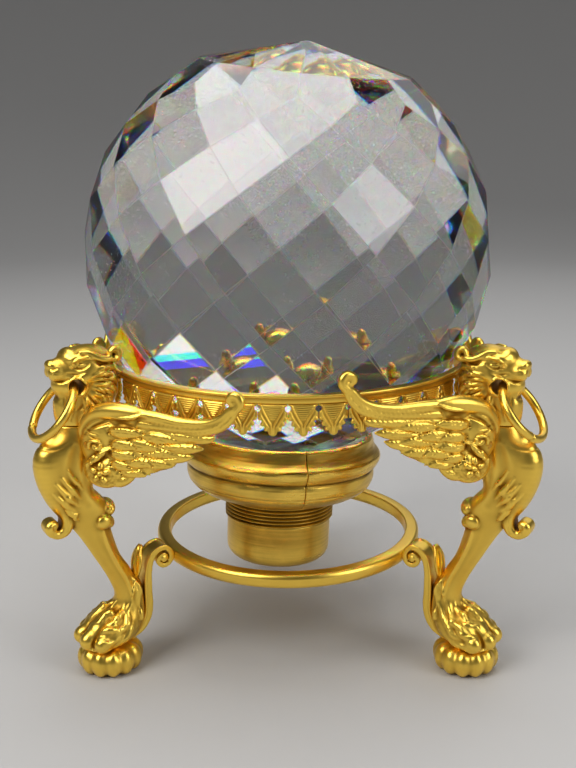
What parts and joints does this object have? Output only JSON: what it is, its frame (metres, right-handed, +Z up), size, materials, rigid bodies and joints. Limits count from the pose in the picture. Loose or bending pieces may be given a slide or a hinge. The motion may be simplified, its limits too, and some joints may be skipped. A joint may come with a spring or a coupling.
{
  "type": "crystal ball on stand",
  "caption": "Faceted crystal ball with a threaded brass collar, resting in a gilt stand with winged beast-headed paw legs, a pierced leaf gallery, a stretcher ring and swinging mouth rings.",
  "frame": {"origin": "on the axis of the stand's rings, at the height of the table under the feet", "axes": "+Z up; the front faces -Y, between two legs; the third leg stands at +Y"},
  "size_m": [0.156, 0.1531, 0.1942],
  "materials": {
    "ormolu": "fire-gilt cast brass, bright yellow gold on the high places and brown in the hollows",
    "ormolu_dark": "gilt brass fixings, duller and worn",
    "brass": "turned brass, tarnished and finely scratched",
    "crystal": "polished cut lead crystal with worn edges and fine scratches",
    "cement": "matt pale setting cement"
  },
  "bodies": {
    "stand": {"seat_ring": "ormolu", "stretcher_ring": "ormolu", "gallery_strip_1": "ormolu", "gallery_strip_2": "ormolu", "gallery_strip_3": "ormolu", "leg_a_casting": "ormolu", "leg_a_head": "ormolu", "leg_a_wing_left": "ormolu", "leg_a_wing_right": "ormolu", "leg_a_wing_left_screw": "ormolu_dark", "leg_a_wing_right_screw": "ormolu_dark", "leg_a_neck_stud": "ormolu_dark", "leg_a_seat_rivet": "ormolu_dark", "leg_a_scroll_strap": "ormolu", "leg_a_strap_leaf": "ormolu", "leg_a_stretcher_rivet": "ormolu_dark", "leg_a_bun_foot": "ormolu", "leg_a_foot_screw": "ormolu_dark", "leg_b_casting": "ormolu", "leg_b_head": "ormolu", "leg_b_wing_left": "ormolu", "leg_b_wing_right": "ormolu", "leg_b_wing_left_screw": "ormolu_dark", "leg_b_wing_right_screw": "ormolu_dark", "leg_b_neck_stud": "ormolu_dark", "leg_b_seat_rivet": "ormolu_dark", "leg_b_scroll_strap": "ormolu", "leg_b_strap_leaf": "ormolu", "leg_b_stretcher_rivet": "ormolu_dark", "leg_b_bun_foot": "ormolu", "leg_b_foot_screw": "ormolu_dark", "leg_c_casting": "ormolu", "leg_c_head": "ormolu", "leg_c_wing_left": "ormolu", "leg_c_wing_right": "ormolu", "leg_c_wing_left_screw": "ormolu_dark", "leg_c_wing_right_screw": "ormolu_dark", "leg_c_neck_stud": "ormolu_dark", "leg_c_seat_rivet": "ormolu_dark", "leg_c_scroll_strap": "ormolu", "leg_c_strap_leaf": "ormolu", "leg_c_stretcher_rivet": "ormolu_dark", "leg_c_bun_foot": "ormolu", "leg_c_foot_screw": "ormolu_dark"},
    "ball": {"crystal_ball": "crystal", "collar": "brass", "cement_bed": "cement", "threaded_spigot": "brass"},
    "mouth_ring_a": {"leg_a_mouth_ring": "ormolu"},
    "mouth_ring_b": {"leg_b_mouth_ring": "ormolu"},
    "mouth_ring_c": {"leg_c_mouth_ring": "ormolu"}
  },
  "joints": [
    {"name": "ball_lift", "type": "slide", "parent": "stand", "child": "ball", "axis": [0, 0, 1], "range_m": [0, 0.12]},
    {"name": "mouth_ring_a_swing", "type": "hinge", "parent": "stand", "child": "mouth_ring_a", "pos_m": [0.0646, -0.0373, 0.0953], "axis": [-0.5, -0.866, 0], "range_deg": [0, 100]},
    {"name": "mouth_ring_b_swing", "type": "hinge", "parent": "stand", "child": "mouth_ring_b", "pos_m": [0, 0.0746, 0.0953], "axis": [1, 0, 0], "range_deg": [0, 100]},
    {"name": "mouth_ring_c_swing", "type": "hinge", "parent": "stand", "child": "mouth_ring_c", "pos_m": [-0.0646, -0.0373, 0.0953], "axis": [-0.5, 0.866, 0], "range_deg": [0, 100]}
  ]
}
